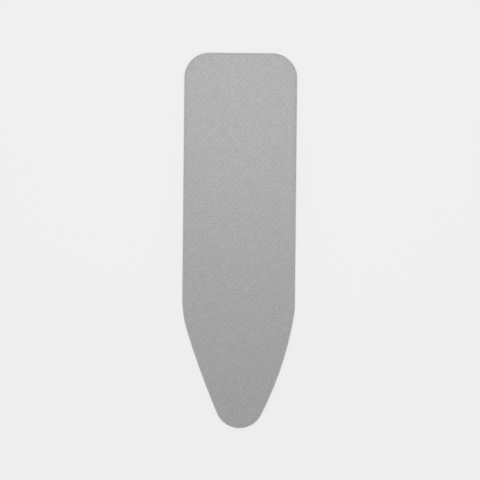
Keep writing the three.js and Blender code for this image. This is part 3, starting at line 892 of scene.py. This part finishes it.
def makeTape(name, legs):
    lap = math.asin(tapeLegZ / tunnelRadius)
    lapInset = hemInset - tunnelRadius * math.cos(lap)
    middle = (tapeEdge + lapInset) / 2
    tunnel = 2 * (math.pi - lap)
    bm = bmesh.new()
    drawSection(bm, legs[0], [
        (tapeEdge, hemZ - tapeLegZ),
        (middle, hemZ - tapeLegZ),
        (lapInset, hemZ - tapeLegZ),
        (hemInset, hemZ, math.degrees(tunnel), tape["tunnelSteps"]),
        (middle, hemZ + tapeLegZ),
        (tapeEdge, hemZ + tapeLegZ),
    ])
    layers, _ = sweep(bm, legs, tape["step"] * mm)
    for vert in bm.verts:
        vert.co.z -= ruffle(vert[layers["inset"]]) * vert[layers["gather"]]
        vert.co.z = max(vert.co.z, hem["tape"] * mm / 2)  # pressed flat where it rests
    writeStripUv(bm, layers)
    faceOut(bm)
    piece = makePiece(f"hem_twill_{name}", bm, hemTwill, "cover", [f"hem_tape_{name}"])
    thicken(piece, hem["tape"], 0)


for run, legs in tapeRuns.items():
    makeTape(run, legs)
print("hem tapes made:", len(tapeRuns))


# Stitches: small capsules, half sunk in the cloth
stitch = {"length": 2.5, "spacing": 3.2, "radius": 0.27, "sides": 6, "rings": 5, "hemRows": (40.4, 46.4)}


def makeStitch():
    bm = bmesh.new()
    size = [stitch["length"] * mm / 2, stitch["radius"] * mm, stitch["radius"] * mm]
    bmesh.ops.create_uvsphere(bm, u_segments=stitch["sides"], v_segments=stitch["rings"], radius=1,
                              matrix=Matrix.Diagonal((*size, 1)))
    return toMesh("stitch", bm)


oneStitch = makeStitch()


# Adds one more stitch, lying along a direction
def addStitch(bm, middle, ahead):
    place = Matrix.Translation(middle) @ ahead.to_track_quat("X", "Z").to_matrix().to_4x4()
    oneStitch.transform(place)
    bm.from_mesh(oneStitch)
    oneStitch.transform(place.inverted())


def makeHemStitching():
    bm = bmesh.new()
    z = hemZ - tapeLegZ - hem["tape"] * mm / 2
    for row in stitch["hemRows"]:
        inset = row * mm
        for leg in [leg for legs in tapeRuns.values() for leg in legs]:
            count = math.floor(lengthAt(leg, inset) / (stitch["spacing"] * mm))
            for i in range(count):
                share = (i + 0.5) / count
                point, normal = legPlace(leg, share)
                drop = ruffle(inset) * gatherAt(leg, share)
                addStitch(bm, point - normal * inset + up * (z - drop), up.cross(normal))
    makePiece("hem_stitching", bm, hemThread, "cover")


makeHemStitching()
print("hem sewn")


# Drawstring: one braided cord, from the bead up through the lock, round the hem and back
drawstring = {
    "tailX": 1.45,
    "bend": 14,
    "tailEnd": 3.3,  # in the bead, from its closed end
    "sides": 16,
    "step": 5,
    "gatherSteps": 2,
    "braidStep": 1.1,
    "lobe": 0.1,
}
beadLow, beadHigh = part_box("cord_end_bead")
barrelLow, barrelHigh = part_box("cord_lock_barrel")
lockY = (barrelLow.y + barrelHigh.y) / 2
lockZ = (barrelLow.z + barrelHigh.z) / 2
lockCentre = Vector((0, lockY, lockZ))


# The stretches that show are braided, and the cord is plain inside the tunnel. From bend to bend the legs
# follow the outline, and the cord runs at the hem's inset from them.
def drawstringLegs():
    tailX = drawstring["tailX"] * mm
    bend = drawstring["bend"] * mm
    bendX = tailX + bend
    bendY = heelY - hemInset - bend
    tailEnd = beadLow.y + drawstring["tailEnd"] * mm
    quarter = math.pi / 2
    legs = [
        straightLeg((-tailX, tailEnd), (-tailX, bendY), shows=True),
        turnLeg((-bendX, bendY), bend, 0, quarter, rise=hemZ - lockZ, shows=True),
        straightLeg((-bendX, heelY), (-heelGap, heelY), shows=True),
        *hemLegs(),
        straightLeg((heelGap, heelY), (bendX, heelY), shows=True),
        turnLeg((bendX, bendY), bend, quarter, math.pi, rise=lockZ - hemZ, shows=True),
        straightLeg((tailX, bendY), (tailX, tailEnd), shows=True),
    ]
    for leg in legs:
        if leg.get("notch") or leg.get("shows"):
            leg["step"] = drawstring["braidStep"] * mm
    return legs


# A ring of vertices round Y, to be carried along as a cord or a wire
def drawRing(bm, centre, radius, sides):
    bmesh.ops.create_circle(bm, segments=sides, radius=radius,
                            matrix=Matrix.Translation(centre) @ Matrix.Rotation(math.pi / 2, 4, "X"))


def makeDrawstring():
    legs = drawstringLegs()
    start, normal = legPlace(legs[0], 0)
    centre = start + up * lockZ
    bm = bmesh.new()
    drawRing(bm, centre, cordRadius, drawstring["sides"])
    angle = bm.verts.layers.float.new("angle")
    for vert in bm.verts:
        vert[angle] = math.atan2((vert.co - centre).dot(up), (centre - vert.co).dot(normal)) % fullTurn
    layers, legFaces = sweep(bm, legs, drawstring["step"] * mm, drawstring["gatherSteps"])
    braided = dict.fromkeys(vert for leg, faces in zip(legs, legFaces) if "step" in leg
                            for face in faces for vert in face.verts)
    for vert in braided:
        turn = braid["strands"] * vert[angle]
        lay = fullTurn * vert[layers["along"]] / (braid["lay"] * mm)
        lobe = max(math.sin(turn + lay), math.sin(turn - lay)) - 1
        radial = up * math.sin(vert[angle]) - vert[layers["normal"]] * math.cos(vert[angle])
        vert.co += radial * lobe * drawstring["lobe"] * mm
    uv = bm.loops.layers.uv.new("cloth")
    for face in bm.faces:
        rounds = [loop.vert[angle] / fullTurn for loop in face.loops]
        for loop, share in zip(face.loops, rounds):
            wrapped = max(rounds) - min(rounds) > 0.5 and share < 0.5
            loop[uv].uv = (share + wrapped, loop.vert[layers["along"]])
    closeEnds(bm)
    makePiece("drawstring_cord", bm, cordBraid, "cover", ["drawstring"])


makeDrawstring()
print("drawstring threaded")


# Cord lock: a barrel and a sprung plunger whose slots pinch the tails, and a bead on their ends
lock = {
    "endRadius": 5.3,
    "belly": 0.7,
    "bore": 4.5,
    "closedWall": 1.5,
    "slotHeight": 3.1,
    "slotRound": 0.45,  # share of its height
    "slotReach": 12,  # to both sides of the middle
    "barrelSlot": (-5.5, 3.0),
    "barrelSteps": 40,
    "grips": 4,
    "gripStart": 1.4,
    "gripSpacing": 1.8,
    "gripDepth": 0.35,
    "plungerRadius": 4.3,
    "plungerSlot": (-3.0, 5.5),
    "footEdge": 0.4,
    "headStart": 8.8,
    "headRadius": 5.6,
    "headEdge": (0.45, 0.4),  # along it and across it
    "headDraft": 0.1,
    "headRim": 1.1,  # length of its rounded end
    "dishRim": 1.3,  # width of the rim round the thumb dish
    "thumbDish": 0.6,
    "dishRings": (1, 0.8, 0.6, 0.4, 0.2, 0),
    "edge": 0.35,
    "steps": 56,
}


# Turns a line of (along, radius) points in millimetres into a solid about an axis
def turnProfile(points, centre, axis):
    bm = bmesh.new()
    side = axis.orthogonal().normalized()
    last = None
    for along, radius in points:
        vert = bm.verts.new(centre + (axis * along + side * radius) * mm)
        if last:
            bm.edges.new((last, vert))
        last = vert
    bmesh.ops.spin(bm, geom=[*bm.verts, *bm.edges], cent=centre, axis=axis, dvec=(0, 0, 0),
                   angle=fullTurn, steps=lock["steps"], use_merge=True)
    closeSeam(bm)
    faceOut(bm)
    return bm


# A turned piece of the lock, cut by a round-edged slot along Y for the two tails
def makeTurned(name, bm, body, node, slotX, slotY):
    piece = makePiece(name, bm, lockAcetal, body, [node])
    (fromX, toX), (fromY, toY) = slotX, slotY
    size = Vector((toX - fromX, toY - fromY, lock["slotHeight"] * mm))
    middle = Vector(((fromX + toX) / 2, (fromY + toY) / 2, lockZ))
    block = bmesh.new()
    bmesh.ops.create_cube(block, size=1, matrix=Matrix.Translation(middle) @ Matrix.Diagonal((*size, 1)))
    corners = [edge for edge in block.edges if abs(edge.verts[0].co.y - edge.verts[1].co.y) > touch]
    bevel(block, corners, size.z * lock["slotRound"], steps=6)
    cutter = addObject("slot", toMesh("slot", block))
    cut = piece.modifiers.new("slot", "BOOLEAN")
    cut.object = cutter
    cut.solver = "EXACT"
    shaped = piece.evaluated_get(bpy.context.evaluated_depsgraph_get())
    piece.data = bpy.data.meshes.new_from_object(shaped)
    piece.modifiers.remove(cut)
    bpy.data.objects.remove(cutter)
    roundEdges(piece, lock["edge"])


lockSlotY = [lockY - lock["slotReach"] * mm, lockY + lock["slotReach"] * mm]


def makeBarrel():
    closed, opened = barrelLow.x / mm, barrelHigh.x / mm
    inside = closed + lock["closedWall"]
    outer = []
    for i in range(lock["barrelSteps"] + 1):
        share = i / lock["barrelSteps"]
        x = closed + (opened - closed) * share
        radius = lock["endRadius"] + lock["belly"] * math.sin(math.pi * share)
        grip = (x - closed - lock["gripStart"]) / lock["gripSpacing"]
        if 0 < grip < lock["grips"]:
            radius -= lock["gripDepth"] * (1 - math.cos(fullTurn * grip)) / 2
        outer.append((x, radius))
    bore = [(opened, lock["bore"]), (inside, lock["bore"]), (inside, 0)]
    bm = turnProfile([(closed, 0), *outer, *bore], lockCentre, alongX)
    slotX = [x * mm for x in lock["barrelSlot"]]
    makeTurned("lock_barrel", bm, "cord_lock", "cord_lock_barrel", slotX, lockSlotY)


def makePlunger():
    inner, outer = [corner.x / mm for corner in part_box("cord_lock_plunger")]
    stem, head, start = lock["plungerRadius"], lock["headRadius"], lock["headStart"]
    edgeLength, edgeWidth = lock["headEdge"]
    dish = [(outer - lock["thumbDish"] * math.cos(math.pi / 2 * share), (head - lock["dishRim"]) * share)
            for share in lock["dishRings"]]
    bm = turnProfile([
        (inner, 0),
        (inner, stem - lock["footEdge"]),
        (inner + lock["footEdge"], stem),
        (start, stem),
        (start, head - edgeWidth),
        (start + edgeLength, head),
        (outer - lock["headRim"], head - lock["headDraft"]),
        *dish,
    ], lockCentre, alongX)
    slotX = [x * mm for x in lock["plungerSlot"]]
    makeTurned("lock_plunger_pin", bm, "lock_plunger", "cord_lock_plunger", slotX, lockSlotY)


# Bead: a bell over the two cord ends, with a rounded foot
bead = {
    # Shares of its length, from the closed end, and of its radius
    "bell": ((0, 0.45), (0.06, 0.72), (0.16, 0.92), (0.3, 1), (0.45, 0.985), (0.62, 0.93), (0.8, 0.865),
             (1, 0.82)),
    "pocketHalf": 3,
    "floor": 3,
    "past": 3,  # how far the pocket's cut goes on past the mouth
}


def makeBead():
    floorY, mouthY = beadLow.y / mm, beadHigh.y / mm
    radius = (beadHigh.x - beadLow.x) / 2 / mm
    bell = [(floorY + (mouthY - floorY) * along, radius * wide) for along, wide in bead["bell"]]
    bm = turnProfile([(floorY, 0), *bell, (mouthY, 0)], Vector((0, 0, lockZ)), alongY)
    slotX = [-bead["pocketHalf"] * mm, bead["pocketHalf"] * mm]
    slotY = [beadLow.y + bead["floor"] * mm, beadHigh.y + bead["past"] * mm]
    makeTurned("cord_bell", bm, "cover", "cord_end_bead", slotX, slotY)


# Spring: its end turns lie closed
spring = {"wire": 0.7, "turns": 4, "closedPitch": 1.05, "sides": 8, "turnSteps": 28}  # the pitch in wires


def makeSpring():
    low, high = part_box("cord_lock_spring")
    wire = spring["wire"] * mm
    coil = (high.z - low.z - wire) / 2
    closedRise = wire * spring["closedPitch"]
    openTurns = spring["turns"] - 2
    openRise = (high.x - low.x - wire - 2 * closedRise) / openTurns
    bm = bmesh.new()
    drawRing(bm, (low.x + wire / 2, lockY, lockZ + coil), wire / 2, spring["sides"])
    geometry = [*bm.verts, *bm.edges]
    for turns, rise in ((1, closedRise), (openTurns, openRise), (1, closedRise)):
        made = bmesh.ops.spin(bm, geom=geometry, cent=lockCentre, axis=alongX,
                              dvec=alongX * rise / spring["turnSteps"], angle=fullTurn * turns,
                              steps=turns * spring["turnSteps"])
        geometry = made["geom_last"]
    closeEnds(bm)
    piece = makePiece("lock_spring", bm, springSteel, nodes=["cord_lock_spring"])
    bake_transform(piece)


makeBarrel()
makePlunger()
makeBead()
makeSpring()
print("cord lock made")


# Hook: a moulded plate with a slot behind its bar for the strap, and a tongue curled round the cord
hook = {
    "thickness": 2,
    "innerCurl": 1.6,
    "length": 26,
    "bar": 3,
    "slot": 3.3,
    "shoulder": 2.6,
    "tongue": 7.2,
    "halfWidth": 11.9,
    "slotHalf": 9.3,
    "tongueHalf": 8,
    "barCorner": 3,
    "curl": 120,
    "curlSteps": 10,
    "edge": 0.45,
    "grips": (-16.2, -14.2, -12.2),  # ribs under the fingers, from the cord
    "gripWidth": 1.0,
    "gripHeight": 0.3,
    "gripEdge": 0.14,
}
cordX = halfWidth - hemInset


# The plate's underside, still flat, with the cord along Y at the origin: a grid of unit size, whose
# columns and rows are moved to their places
def hookPlate():
    stations = [-hook["length"]]
    for width in (hook["bar"], hook["slot"], hook["shoulder"]):
        stations.append(stations[-1] + width)
    tongueColumn = len(stations)
    stations += [-hook["tongue"], 0]
    rows = (-hook["halfWidth"], -hook["slotHalf"], hook["slotHalf"], hook["halfWidth"])
    columns, lanes = len(stations) - 1, len(rows) - 1
    bm = bmesh.new()
    bmesh.ops.create_grid(bm, x_segments=columns, y_segments=lanes, size=0.5)
    for vert in bm.verts:
        column = round((vert.co.x + 0.5) * columns)
        row = round((vert.co.y + 0.5) * lanes)
        narrow = hook["tongueHalf"] / hook["halfWidth"] if column >= tongueColumn else 1
        vert.co = Vector((stations[column], rows[row] * narrow, hook["innerCurl"])) * mm
    slotMiddle = alongX * (stations[1] + stations[2]) / 2 * mm
    slot = min(bm.faces, key=lambda face: (face.calc_center_median() - slotMiddle).length)
    bmesh.ops.delete(bm, geom=[slot], context="FACES_ONLY")
    corners = [vert for vert in bm.verts if vert.co.x < stations[0] * mm + touch
               and abs(vert.co.y) > hook["halfWidth"] * mm - touch]
    bevel(bm, corners, hook["barCorner"] * mm, steps=6, affect="VERTICES")
    return bm


# Raises the ribs on the largest face underneath
def addGrips(bm):
    faces = [max(bm.faces, key=lambda face: -face.normal.z * face.calc_area())]
    for x in hook["grips"]:
        for edgeX in (x, x + hook["gripWidth"]):
            faces = cutFaces(bm, faces, alongX * edgeX * mm, alongX, touch)
    middles = [(x + hook["gripWidth"] / 2) * mm for x in hook["grips"]]
    ribs = [face for face in faces if any(abs(face.calc_center_median().x - x) < touch for x in middles)]
    bmesh.ops.inset_individual(bm, faces=ribs, thickness=hook["gripEdge"] * mm, depth=hook["gripHeight"] * mm)
    edges = dict.fromkeys(edge for face in ribs for edge in face.edges)
    bevel(bm, list(edges), hook["gripEdge"] * mm, steps=2)


def makeHook(name, body, side, y):
    bm = hookPlate()
    top = bmesh.ops.extrude_face_region(bm, geom=bm.faces[:], use_keep_orig=True)["geom"]
    bmesh.ops.translate(bm, verts=[item for item in top if isinstance(item, bmesh.types.BMVert)],
                        vec=up * hook["thickness"] * mm)
    tip = [face for face in bm.faces if all(abs(vert.co.x) < touch for vert in face.verts)]
    bmesh.ops.spin(bm, geom=withParts(tip), cent=(0, 0, 0), axis=alongY, dvec=(0, 0, 0),
                   angle=math.radians(hook["curl"]), steps=hook["curlSteps"])
    faceOut(bm)
    sharp = [edge for edge in bm.edges if edge.calc_face_angle(0) > sharpAngle]
    bevel(bm, sharp, hook["edge"] * mm, steps=3, clamp=True)
    bmesh.ops.dissolve_degenerate(bm, edges=bm.edges[:], dist=touch)
    addGrips(bm)
    place = Matrix.Translation((side * cordX, y, hemZ))
    if side < 0:
        place = place @ Matrix.Rotation(math.pi, 4, "Z")
    bmesh.ops.transform(bm, verts=bm.verts[:], matrix=place)
    makePiece(f"hook_{name}", bm, hookNylon, body, [f"strap_hook_{name}"])


for number, y in enumerate(strapYs, 1):
    for side, hand in hands.items():
        makeHook(f"{hand}_{number}", f"{hand}_hook_{number}", side, y)
print("hooks made:", len(strapYs) * len(hands))


# Strap: a band of woven elastic whose ends go round the hooks' bars and are sewn back on themselves
strap = {
    "width": 18,
    "thickness": 1.4,
    "sewn": 22,  # length of the lap
    "lapGap": 0.02,
    "ramp": 8,  # where the band rises to the lap
    "throat": 5.4,  # from the lap to the bar
    "eye": 2,  # from the bar's middle to the band round it
    "freeSteps": 10,
    "loopSteps": 10,
    "step": 3,
    "seamInset": 2.6,
    "seamStart": 2,
}
barX = cordX - (hook["length"] - hook["bar"] / 2) * mm
barHalf = hook["bar"] * mm / 2
nearX, farX = barX - barHalf, barX + barHalf
throatX = nearX - strap["throat"] * mm
sewnX = throatX - strap["sewn"] * mm


def makeStrapHalf(name, node, side, y):
    half = strap["width"] * mm / 2
    lap = (strap["thickness"] / 2 + strap["lapGap"]) * mm
    eye = strap["eye"] * mm
    free = sewnX - strap["ramp"] * mm
    leg = straightLeg((0, y - side * half), (0, y + side * half))
    toBar = [(throatX, lap), ((throatX + nearX) / 2, (lap + eye) / 2), (nearX, eye)]
    bm = bmesh.new()
    drawSection(bm, leg, [
        (0, strapZ),
        *[(-free * (i + 1) / strap["freeSteps"], strapZ) for i in range(strap["freeSteps"])],
        *[(-free - (sewnX - free) * share, strapZ + lap * ease(0, 1, share)) for share in quarters],
        *[(-x, strapZ + z) for x, z in toBar],
        (-farX, strapZ + eye),
        (-farX, strapZ, 180, strap["loopSteps"]),
        *[(-x, strapZ - z) for x, z in reversed(toBar)],
        (-sewnX, strapZ - lap),
    ])
    layers, _ = sweep(bm, [leg], strap["step"] * mm)
    writeStripUv(bm, layers)
    faceOut(bm)
    piece = makePiece(f"strap_{name}", bm, strapElastic, nodes=[node])
    thicken(piece, strap["thickness"], 0)
    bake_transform(piece)


# A sewn box with a cross in it, on both faces of the lap
def makeStrapSeam(name, body, side, y):
    half = (strap["width"] / 2 - strap["seamInset"]) * mm
    inner, outer = sewnX + strap["seamStart"] * mm, throatX - strap["seamStart"] * mm
    corners = [(inner, -half), (outer, -half), (outer, half), (inner, half)]
    lines = [*zip(corners, corners[1:] + corners[:1]), (corners[0], corners[2]), (corners[1], corners[3])]
    bm = bmesh.new()
    for face in (-1, 1):
        z = strapZ + face * (strap["thickness"] + strap["lapGap"]) * mm
        for line in lines:
            start, end = [Vector((side * x, y + across, z)) for x, across in line]
            run = end - start
            count = round(run.length / (stitch["spacing"] * mm))
            for i in range(count):
                addStitch(bm, start + run * (i + 0.5) / count, run)
    makePiece(f"strap_seam_{name}", bm, strapThread, body)


for number, y in enumerate(strapYs, 1):
    for side, hand in hands.items():
        name, body = f"{hand}_{number}", f"{hand}_hook_{number}"
        makeStrapHalf(name, f"stretch_strap_{number}", side, y)
        makeStrapSeam(name, body, side, y)
print("straps sewn:", len(strapYs))
